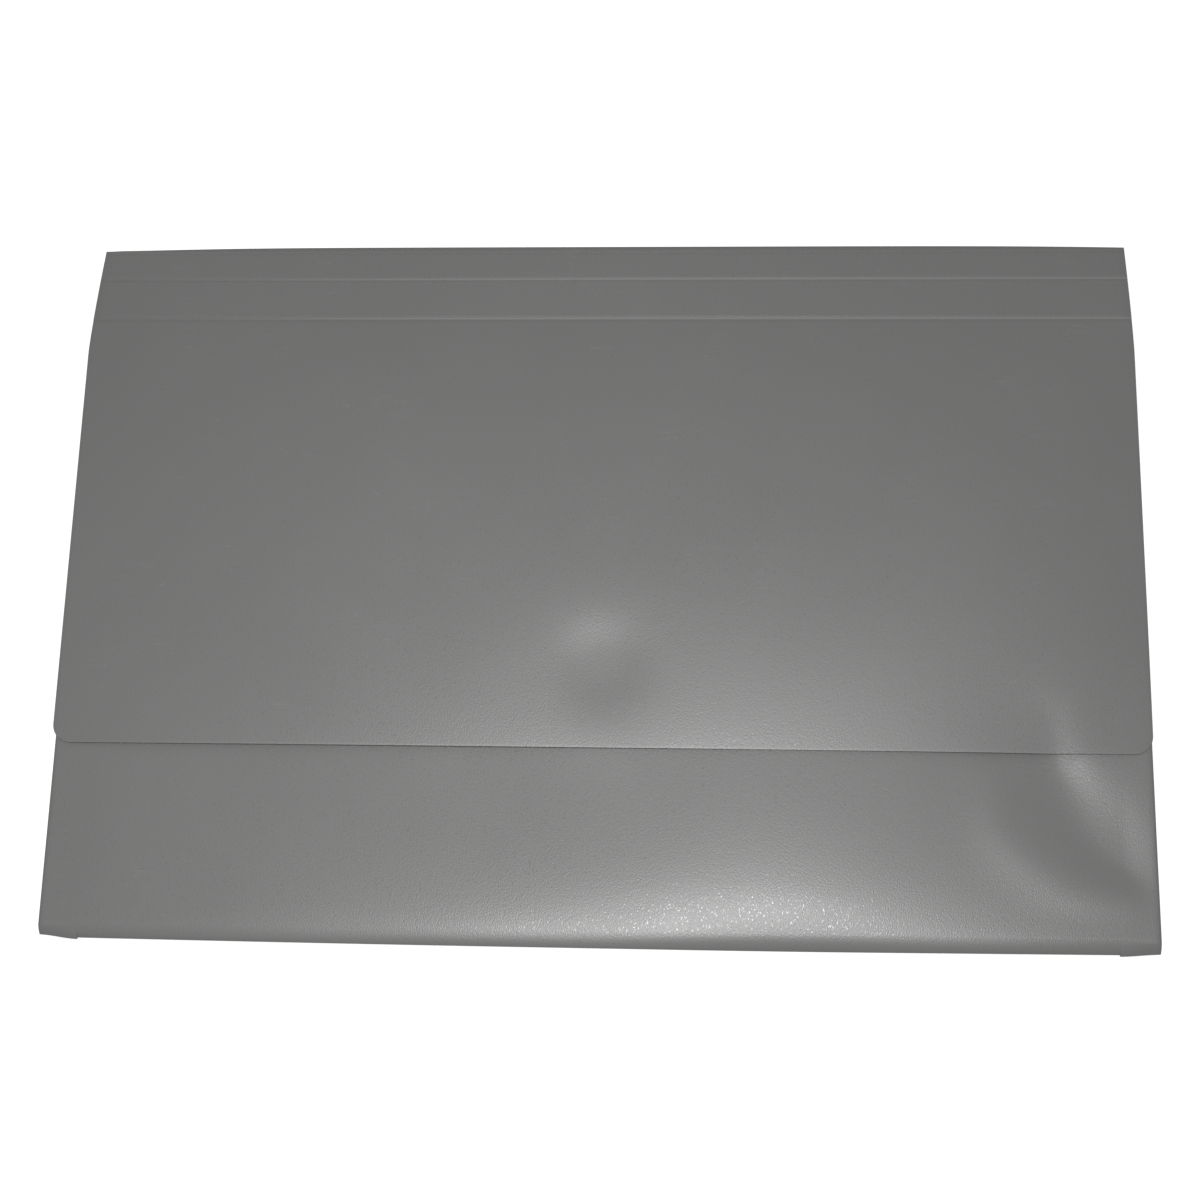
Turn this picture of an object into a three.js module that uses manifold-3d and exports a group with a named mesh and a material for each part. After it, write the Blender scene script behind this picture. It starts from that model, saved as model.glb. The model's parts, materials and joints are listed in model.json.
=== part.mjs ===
// An expanding document wallet, closed and lying on its back.
//
// The wallet is one die-cut polypropylene sheet, creased into panels. A back panel carries a base strip along
// its lower edge and a two-part spine along its upper edge. The base carries the front panel of the pocket, the
// spine carries the flap, and a folded gusset closes each side. Under the flap, a coin of hook tape meets a
// coin of loop tape on the pocket. Each panel between two creases is a mesh of its own, and so is each crease.
//
// Millimetres. X runs across the wallet, Y from the bottom edge to the top fold, and Z up through its layers.

import * as THREE from "three";
import Module from "manifold-3d";
import { mergeVertices } from "three/addons/utils/BufferGeometryUtils.js";

// The sheet and the closed wallet
const walletWidth = 355; // across the flap
const walletHeight = 240; // from the bottom roll to the top roll
const sheet = 0.8; // thickness of the embossed sheet
const pocketInset = 0.3; // the pocket's side edges lie inside the flap's by this much
const expansion = 24.8; // width of the base, and of the spine between its outer creases

// Air between the folded layers
const layerGap = 0.7; // between the layers of a side gusset
const flapGap = 0.5; // between the pocket's rim and the flap
const runningGap = 0.3; // between pieces that turn past each other

// Creases
const creaseWidth = 1.0; // the thinned line where two panels meet
const creaseThickness = 0.3; // what the score leaves of the sheet
const upperScoreWidth = 0.8;

// Panels
const bottomRollReach = 5.2; // how far the soft bottom fold stands out from its inner line
const bottomRollEndInset = 12.8; // from the pocket's side edge to the end of the bottom fold
const topRollReach = 2.4; // the same at the top fold
const topTaper = 1.4; // the sheet narrows by this much on each side towards the top fold
const topTaperLength = 35;
const rearStripWidth = 10.3; // spine, from the top fold to the upper score
const flapReach = 176.5; // from the top fold to the flap's lower edge
const flapCornerRadius = 6;
const frontCornerY = 0.9; // lower edge of the front panel's two free corners
const baseEndInset = 1.4; // from the pocket's side edge to the end of the base
const tabWidth = 11; // the welded edge of each gusset

// Soft forms
const pocketCrown = 1.4; // how far the front panel swells above its rim
const flapCrown = 2.8; // how far the flap lifts further off the front panel
const flapEdgeLift = 0.4; // share of that lift left at the flap's lower edge

// Fastener
const coinRadius = 10;
const coinX = 2; // stuck on by hand, a little off the middle
const coinAboveEdge = 28.8; // from the flap's lower edge to the middle of the coins
const tapeThickness = 0.5;
const adhesiveThickness = 0.2;
const dimpleHalfWidth = 15; // the flap is drawn down round the coins over this oval
const dimpleHalfHeight = 19.5;
const seatMargin = 0.6; // flat seat round a coin

// Heights of the layers, from the table up
const tabTop = 2 * sheet;
const rearUnder = tabTop + layerGap;
const rearTop = rearUnder + sheet;
const foreUnder = rearTop + layerGap;
const foreTop = foreUnder + sheet;
const panelUnder = foreTop + layerGap;
const panelTop = panelUnder + sheet;
const flapUnder = panelTop + flapGap;
const flapTop = flapUnder + sheet;

// Crease lines: where one panel turns on another
const halfCrease = creaseWidth / 2;
const flapHalfWidth = walletWidth / 2;
const pocketHalfWidth = flapHalfWidth - pocketInset;
const topHalfWidth = flapHalfWidth - topTaper;
const topCreaseY = walletHeight - topRollReach - halfCrease;
const flapCreaseY = topCreaseY - expansion;
const upperScoreY = topCreaseY - rearStripWidth;
const frontCreaseY = bottomRollReach + halfCrease;
const baseCreaseY = frontCreaseY + expansion;
const foldRadius = sheet + layerGap / 2; // outside of a folded edge
const sideFoldX = pocketHalfWidth - foldRadius;
const gussetHalf = expansion / 2;
const innerFoldX = sideFoldX - gussetHalf;
const gussetTopY = flapCreaseY - runningGap;
const mouthY = gussetTopY - expansion; // upper edge of the front panel, under the flap
const gussetBottomY = baseCreaseY + halfCrease;
const flapEdgeY = walletHeight - flapReach;
const coinY = flapEdgeY + coinAboveEdge;
const rollHalfLength = pocketHalfWidth - bottomRollEndInset;

const manifoldLibrary = await Module();
manifoldLibrary.setup();

const grey = new THREE.MeshStandardMaterial({ color: 0x767674, roughness: 0.42, metalness: 0 });
const creaseGrey = new THREE.MeshStandardMaterial({ color: 0x848482, roughness: 0.36, metalness: 0 });
const tapeGrey = new THREE.MeshStandardMaterial({ color: 0x3c3c3e, roughness: 0.95, metalness: 0 });
const adhesiveWhite = new THREE.MeshStandardMaterial({ color: 0xd8d6cf, roughness: 0.6, metalness: 0 });

// Eased step from 0 to 1, flat at both ends.
function ease(value) {
  const t = Math.min(Math.max(value, 0), 1);
  return t * t * (3 - 2 * t);
}

// Steps from a to b, without b.
function steps(a, b, count) {
  return Array.from({ length: count }, (_, i) => a + ((b - a) * i) / count);
}

// Height of the swell of the front panel above its rim: a parabola each way, nought at the rim.
function pocketSwell(x, y) {
  const across = x / sideFoldX;
  const middleY = (bottomRollReach + flapCreaseY) / 2;
  const along = (y - middleY) / (flapCreaseY - middleY);
  return pocketCrown * Math.max(0, 1 - across * across) * Math.max(0, 1 - along * along);
}

// Extra lift of the flap: most in its middle, some left at its lower edge, none at its crease.
function flapLift(x, y) {
  const across = x / flapHalfWidth;
  const s = (y - flapEdgeY) / (flapCreaseY - flapEdgeY);
  const along = flapEdgeLift * (1 - s) + (1 - flapEdgeLift / 2) * Math.sin(Math.PI * s);
  return flapCrown * Math.max(0, 1 - across * across) * Math.max(0, along);
}

// 1 on a coin's flat seat, falling to 0 at the edge of an oval round it.
function seatShare(x, y, halfWidth, halfHeight) {
  const dx = x - coinX;
  const dy = y - coinY;
  const reach = Math.hypot(dx, dy);
  const edge = 1 / Math.hypot(dx / (reach || 1) / halfWidth, dy / (reach || 1) / halfHeight);
  const seat = coinRadius + seatMargin;
  return 1 - ease((reach - seat) / (edge - seat));
}

const loopSeatZ = panelTop + pocketSwell(coinX, coinY);
const hookSeatZ = loopSeatZ + 2 * (tapeThickness + adhesiveThickness) + runningGap;

// Upper face of the front panel.
function frontHeight(x, y) {
  const share = seatShare(x, y, dimpleHalfWidth, dimpleHalfHeight);
  const free = panelTop + pocketSwell(x, y);
  return free + (loopSeatZ - free) * share;
}

// Lower face of the flap.
function flapHeight(x, y) {
  const share = seatShare(x, y, dimpleHalfWidth, dimpleHalfHeight);
  const free = flapUnder + pocketSwell(x, y) + flapLift(x, y);
  return free + (hookSeatZ - free) * share;
}

// Half the width of the sheet at a height y: straight, then narrower towards the top fold.
function sheetHalfWidth(y, halfWidth) {
  return halfWidth - (halfWidth - topHalfWidth) * ease((y - walletHeight + topTaperLength) / topTaperLength);
}

// A curved panel as a closed solid: a grid of points on its lower face, and the same points a sheet higher.
// columns holds shares of the half width, rows holds heights y, and halfWidthAt gives each row's half width.
function curvedPanel(columns, rows, halfWidthAt, lowerFace) {
  const points = [];
  for (const rise of [0, sheet]) {
    for (const y of rows) {
      for (const share of columns) {
        const x = share * halfWidthAt(y);
        points.push(x, y, lowerFace(x, y) + rise);
      }
    }
  }
  const wide = columns.length;
  const face = wide * rows.length;
  const index = [];
  const quad = (a, b, c, d) => index.push(a, b, c, a, c, d);
  for (let j = 0; j + 1 < rows.length; j++) {
    for (let i = 0; i + 1 < wide; i++) {
      const a = j * wide + i;
      quad(a, a + wide, a + wide + 1, a + 1);
      quad(face + a, face + a + 1, face + a + wide + 1, face + a + wide);
    }
  }
  const last = (rows.length - 1) * wide;
  for (let i = 0; i + 1 < wide; i++) {
    quad(i, i + 1, face + i + 1, face + i);
    quad(last + i + 1, last + i, face + last + i, face + last + i + 1);
  }
  for (let j = 0; j + 1 < rows.length; j++) {
    const left = j * wide;
    const right = left + wide - 1;
    quad(left + wide, left, face + left, face + left + wide);
    quad(right, right + wide, face + right + wide, face + right);
  }
  const geometry = new THREE.BufferGeometry();
  geometry.setAttribute("position", new THREE.Float32BufferAttribute(points, 3));
  geometry.setIndex(index);
  return geometry;
}

// A flat panel from its outline in X and Y, lying between two heights.
function flatPanel(outline, under, top) {
  const geometry = new THREE.ExtrudeGeometry(outline, { depth: top - under, bevelEnabled: false });
  return geometry.translate(0, 0, under);
}

// A section drawn in Y and Z, carried along X over a length centred on the wallet.
function alongX(section, halfLength) {
  const settings = { depth: 2 * halfLength, bevelEnabled: false, curveSegments: 14 };
  const geometry = new THREE.ExtrudeGeometry(section, settings);
  const turn = new THREE.Matrix4().makeBasis(
    new THREE.Vector3(0, 1, 0),
    new THREE.Vector3(0, 0, 1),
    new THREE.Vector3(1, 0, 0),
  );
  return geometry.applyMatrix4(turn).translate(-halfLength, 0, 0);
}

// A section drawn in X and Z, carried along Y from one height to another.
function alongY(section, fromY, toY) {
  const geometry = new THREE.ExtrudeGeometry(section, { depth: toY - fromY, bevelEnabled: false, curveSegments: 10 });
  const turn = new THREE.Matrix4().makeBasis(
    new THREE.Vector3(1, 0, 0),
    new THREE.Vector3(0, 0, 1),
    new THREE.Vector3(0, -1, 0),
  );
  return geometry.applyMatrix4(turn).translate(0, toY, 0);
}

function rectangle(x0, y0, x1, y1) {
  const shape = new THREE.Shape();
  shape.moveTo(x0, y0);
  shape.lineTo(x1, y0);
  shape.lineTo(x1, y1);
  shape.lineTo(x0, y1);
  return shape;
}

// Half of an oval ring, one sheet thick: the section of a folded edge. side is 1 where it stands out towards
// the higher coordinate, and -1 where it stands out towards the lower one.
function foldSection(centre, centreZ, reach, rise, side) {
  const shape = new THREE.Shape();
  const down = -Math.PI / 2;
  const up = side > 0 ? Math.PI / 2 : -1.5 * Math.PI;
  shape.absellipse(centre, centreZ, reach, rise, down, up, side < 0);
  shape.lineTo(centre, centreZ + rise - sheet);
  shape.absellipse(centre, centreZ, reach - sheet, rise - sheet, up, down, side > 0);
  shape.lineTo(centre, centreZ - rise);
  return shape;
}

// A strip between two heights y, with the sheet's taper on its ends.
function stripOutline(fromY, toY, halfWidth) {
  const heights = [...steps(fromY, toY, 12), toY];
  const shape = new THREE.Shape();
  heights.forEach((y, i) => shape[i ? "lineTo" : "moveTo"](sheetHalfWidth(y, halfWidth), y));
  heights.reverse().forEach((y) => shape.lineTo(-sheetHalfWidth(y, halfWidth), y));
  return shape;
}

// A solid for joining, from a geometry.
function solid(geometry) {
  const bare = geometry.clone();
  bare.deleteAttribute("normal");
  bare.deleteAttribute("uv");
  const merged = mergeVertices(bare, 1e-4);
  const mesh = new manifoldLibrary.Mesh({
    numProp: 3,
    vertProperties: new Float32Array(merged.attributes.position.array),
    triVerts: new Uint32Array(merged.index.array),
  });
  return new manifoldLibrary.Manifold(mesh);
}

function geometryOf(joined) {
  const mesh = joined.getMesh();
  const geometry = new THREE.BufferGeometry();
  geometry.setAttribute("position", new THREE.BufferAttribute(mesh.vertProperties, 3));
  geometry.setIndex(new THREE.BufferAttribute(mesh.triVerts, 1));
  return geometry;
}

const wallet = new THREE.Group();
wallet.position.y = -walletHeight / 2;

function add(name, geometry, material) {
  const mesh = new THREE.Mesh(geometry, material);
  mesh.name = name;
  wallet.add(mesh);
}

// Shares of the half width where a curved panel has its points: closer together round the fastener.
function panelColumns(halfWidth) {
  const low = (coinX - dimpleHalfWidth) / halfWidth;
  const high = (coinX + dimpleHalfWidth) / halfWidth;
  return [...steps(-1, low, 9), ...steps(low, high, 12), ...steps(high, 1, 9), 1];
}

// Back of the wallet: the panel, its rolled top edge and the base strip.
function addBack() {
  const top = topCreaseY + halfCrease;
  add("back_panel", flatPanel(stripOutline(gussetBottomY, top, pocketHalfWidth), 0, sheet), grey);
  add("top_fold", alongX(foldSection(top, flapTop / 2, topRollReach, flapTop / 2, 1), topHalfWidth), grey);
  const baseHalf = pocketHalfWidth - baseEndInset;
  const from = frontCreaseY + halfCrease;
  const to = baseCreaseY - halfCrease;
  add("base_strip", flatPanel(rectangle(-baseHalf, from, baseHalf, to), 0, sheet), grey);
}

// Front of the pocket: the swelling panel with its two free corners, its rolled bottom edge and folded sides.
function addFront() {
  const lower = bottomRollReach;
  const rows = [
    ...steps(lower, flapEdgeY, 6),
    ...steps(flapEdgeY, coinY - dimpleHalfHeight, 2),
    ...steps(coinY - dimpleHalfHeight, coinY + dimpleHalfHeight, 12),
    ...steps(coinY + dimpleHalfHeight, mouthY, 6),
    mouthY,
  ];
  const lowerFace = (x, y) => frontHeight(x, y) - sheet;
  let panel = solid(curvedPanel(panelColumns(sideFoldX), rows, () => sideFoldX, lowerFace));
  for (const side of [-1, 1]) {
    const inner = side * rollHalfLength;
    const outer = side * sideFoldX;
    const corner = rectangle(Math.min(inner, outer), frontCornerY, Math.max(inner, outer), lower);
    panel = panel.add(solid(flatPanel(corner, panelUnder, panelTop)));
  }
  add("front_panel", geometryOf(panel), grey);
  const roll = foldSection(lower, panelTop / 2, bottomRollReach, panelTop / 2, -1);
  add("bottom_fold", alongX(roll, rollHalfLength), grey);
  const centreZ = (foreUnder + panelTop) / 2;
  for (const [name, side] of [["left", -1], ["right", 1]]) {
    const section = foldSection(side * sideFoldX, centreZ, foldRadius, foldRadius, side);
    add(`front_${name}_fold`, alongY(section, frontCornerY, mouthY), grey);
  }
}

// A side gusset: a tab welded to the back panel, and two leaves folded inwards between the panels.
function addGusset(name, side) {
  const leaf = (under, fromX, toX) => {
    const section = rectangle(Math.min(fromX, toX), under, Math.max(fromX, toX), under + sheet);
    return alongY(section, gussetBottomY, gussetTopY);
  };
  const outer = side * sideFoldX;
  const inner = side * innerFoldX;
  const fold = (centre, centreZ, way) =>
    alongY(foldSection(centre, centreZ, foldRadius, foldRadius, way), gussetBottomY, gussetTopY);
  add(`${name}_gusset_tab`, leaf(sheet, outer - side * tabWidth, outer), grey);
  add(`${name}_gusset_outer_fold`, fold(outer, (sheet + rearTop) / 2, side), creaseGrey);
  add(`${name}_gusset_rear_leaf`, leaf(rearUnder, inner, outer), grey);
  add(`${name}_gusset_inner_fold`, fold(inner, (rearUnder + foreTop) / 2, -side), creaseGrey);
  add(`${name}_gusset_front_leaf`, leaf(foreUnder, inner, outer - side * runningGap), grey);
}

// Spine and flap: two strips between the scores, then the flap with its rounded lower corners.
function addSpineAndFlap() {
  const strip = (fromY, toY) => flatPanel(stripOutline(fromY, toY, flapHalfWidth), flapUnder, flapTop);
  const halfScore = upperScoreWidth / 2;
  add("spine_rear_strip", strip(upperScoreY + halfScore, topCreaseY - halfCrease), grey);
  add("spine_front_strip", strip(flapCreaseY + halfCrease, upperScoreY - halfScore), grey);
  const cornerTop = flapEdgeY + flapCornerRadius;
  const cornerRows = Array.from({ length: 6 }, (_, i) => cornerTop - flapCornerRadius * Math.cos((i * Math.PI) / 12));
  const rows = [
    ...cornerRows,
    ...steps(cornerTop, coinY - dimpleHalfHeight, 1),
    ...steps(coinY - dimpleHalfHeight, coinY + dimpleHalfHeight, 12),
    ...steps(coinY + dimpleHalfHeight, flapCreaseY - halfCrease, 9),
    flapCreaseY - halfCrease,
  ];
  const halfWidthAt = (y) => {
    const inside = Math.max(0, cornerTop - y);
    const cut = flapCornerRadius - Math.sqrt(Math.max(0, flapCornerRadius ** 2 - inside ** 2));
    return sheetHalfWidth(y, flapHalfWidth) - cut;
  };
  add("flap", curvedPanel(panelColumns(flapHalfWidth), rows, halfWidthAt, flapHeight), grey);
}

// The thinned lines across the wallet: what is left of the sheet at each score.
function addCreases() {
  const crease = (name, y, width, middleZ, halfLength) => {
    const half = creaseThickness / 2;
    const section = rectangle(y - width / 2, middleZ - half, y + width / 2, middleZ + half);
    add(name, alongX(section, halfLength), creaseGrey);
  };
  const spineZ = (flapUnder + flapTop) / 2;
  const scoreZ = flapTop - creaseThickness / 2;
  const baseHalf = pocketHalfWidth - baseEndInset;
  crease("top_crease", topCreaseY, creaseWidth, spineZ, topHalfWidth);
  crease("upper_score", upperScoreY, upperScoreWidth, scoreZ, sheetHalfWidth(upperScoreY, flapHalfWidth));
  crease("lower_score", flapCreaseY, creaseWidth, spineZ, sheetHalfWidth(flapCreaseY, flapHalfWidth));
  crease("base_rear_crease", baseCreaseY, creaseWidth, sheet / 2, baseHalf);
  crease("base_front_crease", frontCreaseY, creaseWidth, sheet / 2, rollHalfLength);
}

// A coin of tape: a disc with a slightly broken rim.
function coin(underZ, thickness) {
  const rim = Math.min(0.1, thickness / 4);
  const profile = [
    [0, 0],
    [coinRadius - rim, 0],
    [coinRadius, rim],
    [coinRadius, thickness - rim],
    [coinRadius - rim, thickness],
    [0, thickness],
  ].map(([r, z]) => new THREE.Vector2(r, z));
  return new THREE.LatheGeometry(profile, 48).rotateX(Math.PI / 2).translate(coinX, coinY, underZ);
}

// The fastener: each coin is stuck down by a disc of adhesive, on the pocket and under the flap.
function addFastener() {
  add("loop_adhesive", coin(loopSeatZ, adhesiveThickness), adhesiveWhite);
  add("loop_coin", coin(loopSeatZ + adhesiveThickness, tapeThickness), tapeGrey);
  add("hook_adhesive", coin(hookSeatZ - adhesiveThickness, adhesiveThickness), adhesiveWhite);
  add("hook_coin", coin(hookSeatZ - adhesiveThickness - tapeThickness, tapeThickness), tapeGrey);
}

addBack();
addFront();
addGusset("left", -1);
addGusset("right", 1);
addSpineAndFlap();
addCreases();
addFastener();

export default wallet;
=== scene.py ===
# %% [markdown]
# # A grey document wallet, closed and lying on its back
#
# The wallet is one embossed polypropylene sheet, creased into a pocket, a two-part spine and a deep flap.
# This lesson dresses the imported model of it. Almost everything here is one idea used again and again: a
# sheet is a surface of two parameters, worked out with numpy, and given its thickness afterwards.

# %% Load the frame
import json
import math

import bmesh
import bpy
import numpy as np
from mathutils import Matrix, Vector


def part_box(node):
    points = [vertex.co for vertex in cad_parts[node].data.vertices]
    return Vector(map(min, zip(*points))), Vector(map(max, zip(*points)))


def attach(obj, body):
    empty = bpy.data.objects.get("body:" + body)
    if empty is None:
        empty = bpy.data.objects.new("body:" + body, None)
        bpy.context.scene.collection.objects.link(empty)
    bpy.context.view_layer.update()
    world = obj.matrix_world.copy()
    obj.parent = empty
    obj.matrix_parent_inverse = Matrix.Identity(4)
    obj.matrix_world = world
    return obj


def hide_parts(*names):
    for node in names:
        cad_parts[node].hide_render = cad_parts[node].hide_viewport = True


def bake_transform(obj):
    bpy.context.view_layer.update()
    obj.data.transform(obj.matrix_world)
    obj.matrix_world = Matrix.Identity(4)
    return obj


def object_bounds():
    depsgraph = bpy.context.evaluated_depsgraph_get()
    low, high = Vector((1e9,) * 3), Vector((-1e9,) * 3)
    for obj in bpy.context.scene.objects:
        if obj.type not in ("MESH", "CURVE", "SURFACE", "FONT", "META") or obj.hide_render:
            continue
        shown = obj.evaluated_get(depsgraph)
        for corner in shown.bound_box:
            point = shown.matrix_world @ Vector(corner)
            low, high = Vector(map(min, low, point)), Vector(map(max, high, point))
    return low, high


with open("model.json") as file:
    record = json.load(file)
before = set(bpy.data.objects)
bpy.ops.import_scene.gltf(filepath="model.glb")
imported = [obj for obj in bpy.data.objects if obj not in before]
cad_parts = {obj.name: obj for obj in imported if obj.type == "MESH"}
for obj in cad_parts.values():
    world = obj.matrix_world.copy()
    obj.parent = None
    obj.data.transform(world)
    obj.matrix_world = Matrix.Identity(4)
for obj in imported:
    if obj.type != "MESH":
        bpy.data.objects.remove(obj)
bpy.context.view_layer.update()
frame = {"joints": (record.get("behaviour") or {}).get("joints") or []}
MM = 0.001

# %% [markdown]
# ## The camera
#
# The photograph looks down at the wallet from the front, 74 degrees above the table. The place of the
# camera was found by fitting the corners and creases of a 355 by 240 mm wallet to where the picture shows
# them, and the lens follows from how much the far edge shrinks.

# %% Place the camera
CAMERA_PLACE = (0.04146, -0.18948, 0.66393)
CAMERA_TURN = (15.569, 3.1869, 1.3070)  # degrees about X, Y and Z
CAMERA_LENS = 62.507  # for a sensor 36 mm wide

camera_data = bpy.data.cameras.new("camera")
camera_data.lens = CAMERA_LENS
camera_data.sensor_width = 36
camera_data.clip_end = 20
camera = bpy.data.objects.new("camera", camera_data)
camera.location = CAMERA_PLACE
camera.rotation_euler = [math.radians(a) for a in CAMERA_TURN]
bpy.context.scene.collection.objects.link(camera)
bpy.context.scene.camera = camera

# %% [markdown]
# ## Sizes
#
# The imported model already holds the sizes, so they are read from it: the corners of each node, and the line
# of each joint. From here on, the shape functions work in millimetres, with Y measured from the middle of
# the wallet, and the mesh helper turns the result into metres.

# %% Read the sizes from the frame
def node_box(node):
    """Lowest and highest corner of a node in millimetres, as two arrays."""
    low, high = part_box(node)
    return np.array(low) / MM, np.array(high) / MM


def joint_line(name):
    """The place of a joint in millimetres."""
    found = [j for j in frame["joints"] if j["name"] == name][0]
    return np.array(found["pos_m"]) / MM


def half_length(node):
    """Half of a node's size along Y, in millimetres."""
    low, high = node_box(node)
    return (high[1] - low[1]) / 2


SHEET = node_box("back_panel")[1][2]
flap_low, flap_high = node_box("flap")
FLAP_HALF, FLAP_LOW_Y = flap_high[0], flap_low[1]
SPINE_MIDDLE_Z = node_box("spine_front_strip")[1][2] - SHEET / 2
roll_low, roll_high = node_box("bottom_fold")
ROLL_HALF, ROLL_INNER_Y = roll_high[:2]
ROLL_OUTER_Y = roll_low[1]
PANEL_MIDDLE_Z = roll_high[2] - SHEET / 2
MOUTH_Y = node_box("front_panel")[1][1]
SIDE_X = joint_line("right_gusset_rise")[0]
LEAF_FOLD_X = joint_line("right_gusset_unfold")[0]
POCKET_HALF = node_box("front_right_fold")[1][0]
TOP_INNER_Y, TOP_OUTER_Y = (corner[1] for corner in node_box("top_fold"))
TOP_CREASE_Y = joint_line("spine_rise")[1]
SCORE_Y = joint_line("flap_open")[1]
FLAP_CREASE_Y = joint_line("flap_level")[1]
FRONT_CREASE_Y = joint_line("front_level")[1]
BASE_CREASE_Y = joint_line("base_rise")[1]
GUSSET_LOW_Y, GUSSET_TOP_Y = (corner[1] for corner in node_box("right_gusset_rear_leaf"))
HALF_CREASE = half_length("lower_score")
HALF_SCORE = half_length("upper_score")
BASE_HALF = node_box("base_strip")[1][0]
FOLD_RADIUS = (POCKET_HALF - SIDE_X) - SHEET / 2  # of the middle of the sheet
coin_low, coin_high = node_box("hook_coin")
COIN = (coin_low + coin_high) / 2
COIN_RADIUS = (coin_high[0] - coin_low[0]) / 2
HOOK_SEAT_Z = node_box("hook_adhesive")[1][2]
LOOP_SEAT_Z = node_box("loop_adhesive")[0][2]
HEIGHT = TOP_OUTER_Y - ROLL_OUTER_Y
print("wallet", 2 * FLAP_HALF, "by", HEIGHT, "mm, sheet", SHEET)

# %% [markdown]
# ## From a surface to a sheet
#
# A sheet of plastic could be a box with a displaced top, but then its edges would stretch. Here the middle
# of the sheet is worked out as a grid of points, the modifier Solidify grows half the thickness on each
# side of it, and Bevel breaks the cut edges a little. A crease that bends needs a final mesh, so the
# modifiers are applied at once.

# %% Make a sheet from a grid of points
MERGE_DISTANCE = 1e-7  # in metres
EDGE_BREAK = 0.05  # how far the cut edges are broken
BROKEN_FROM = math.radians(50)  # edges that turn by more than this are broken
SHARP_FROM = math.radians(38)  # and those that turn by more than this are shaded sharp


def ease(value):
    """Goes smoothly from 0 to 1 as value does: three squares less two cubes, held outside."""
    t = np.clip(value, 0, 1)
    return t * t * (3 - 2 * t)


def bump(value):
    """A bell: e to the power of minus the square of value."""
    return np.exp(-np.square(value))


def mesh_from_grid(name, points, keep=None):
    """A mesh whose vertices are a grid of points in millimetres and whose faces join each point to the next
    along both ways of the grid. keep says which faces stay. Points that fall together are merged."""
    rows, columns = points.shape[:2]
    number = np.arange(rows * columns).reshape(rows, columns)
    faces = np.stack([number[:-1, :-1], number[:-1, 1:], number[1:, 1:], number[1:, :-1]], -1).reshape(-1, 4)
    if keep is not None:
        faces = faces[keep.reshape(-1)]
    used, faces = np.unique(faces, return_inverse=True)
    mesh = bpy.data.meshes.new(name)
    mesh.from_pydata((points.reshape(-1, 3)[used] * MM).tolist(), [], faces.reshape(-1, 4).tolist())
    draft = bmesh.new()
    draft.from_mesh(mesh)
    bmesh.ops.remove_doubles(draft, verts=draft.verts, dist=MERGE_DISTANCE)
    draft.to_mesh(mesh)
    draft.free()
    return mesh


def finished_mesh(obj):
    """Applies the object's modifiers and shades it smooth, but for its sharp edges."""
    bpy.context.view_layer.update()
    final = bpy.data.meshes.new_from_object(obj.evaluated_get(bpy.context.evaluated_depsgraph_get()))
    final.name = obj.name
    obj.modifiers.clear()
    obj.data = final
    final.shade_smooth()
    final.set_sharp_from_angle(angle=SHARP_FROM)


def add_piece(name, mesh, material):
    """A new object in the scene, with one mesh and one material."""
    obj = bpy.data.objects.new(name, mesh)
    bpy.context.scene.collection.objects.link(obj)
    mesh.materials.append(material)
    return obj


def add_sheet(name, points, material, thickness=SHEET, keep=None, rim=EDGE_BREAK):
    """A sheet round its middle surface: Solidify for the thickness, Bevel for the broken edges, unless rim
    is nought. The cut edge all round takes the second material, which is painted paler as a highlight."""
    obj = add_piece(name, mesh_from_grid(name, points, keep), material)
    obj.data.materials.append(CUT_EDGE_HIGHLIGHT)
    solid = obj.modifiers.new("thickness", "SOLIDIFY")
    solid.material_offset_rim = 1
    solid.thickness = thickness * MM
    solid.offset = 0
    if rim:
        bevel = obj.modifiers.new("broken_edges", "BEVEL")
        bevel.width = rim * MM
        bevel.segments = 2
        bevel.limit_method = "ANGLE"
        bevel.angle_limit = BROKEN_FROM
    finished_mesh(obj)
    print(name, len(obj.data.polygons), "faces")
    return obj


def mark_paleness_and_highlight(obj, rule):
    """Stores on each vertex how pale the sheet is there, from 0 to 1, by a rule of its place: whitening along
    a score, and a painted highlight along the flap's lower edge.
    """
    mesh = obj.data
    place = np.empty(len(mesh.vertices) * 3)
    mesh.vertices.foreach_get("co", place)
    x, y = place.reshape(-1, 3)[:, :2].T / MM
    paleness_and_highlight = mesh.attributes.new("paleness_and_highlight", "FLOAT", "POINT")
    paleness_and_highlight.data.foreach_set("value", np.clip(rule(x, y), 0, 1).astype(np.float32))


def spaced(a, b, step):
    """Values from a to b, no further apart than step."""
    return np.linspace(a, b, max(2, int(math.ceil(abs(b - a) / step)) + 1))


def joined(*parts):
    """The parts one after another, with a value that ends one and starts the next kept once."""
    return np.concatenate([parts[0]] + [p[1:] for p in parts[1:]])


# %% [markdown]
# ## The embossed sheet
#
# The sheet is mid-grey polypropylene, rolled hot against an etched cylinder, which leaves a fine pebble
# grain. Light from a soft lamp glints off single pebbles, so the highlight sparkles. The grain, the scuffs
# and the cloudiness of the colour are used on several materials, so each is a shader node group, built once
# and placed with its own values.

# %% Helpers for shader nodes
def new_group(name, outputs, numbers=()):
    """A shader node group that takes a vector, and numbers given as (label, value) rows, and gives the
    named outputs. Returns it with its input node and its output node."""
    group = bpy.data.node_groups.new(name, "ShaderNodeTree")
    group.interface.new_socket("Vector", in_out="INPUT", socket_type="NodeSocketVector")
    for label, value in numbers:
        socket = group.interface.new_socket(label, in_out="INPUT", socket_type="NodeSocketFloat")
        socket.default_value = value
    for label in outputs:
        group.interface.new_socket(label, in_out="OUTPUT", socket_type="NodeSocketFloat")
    return group, group.nodes.new("NodeGroupInput"), group.nodes.new("NodeGroupOutput")


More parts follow.
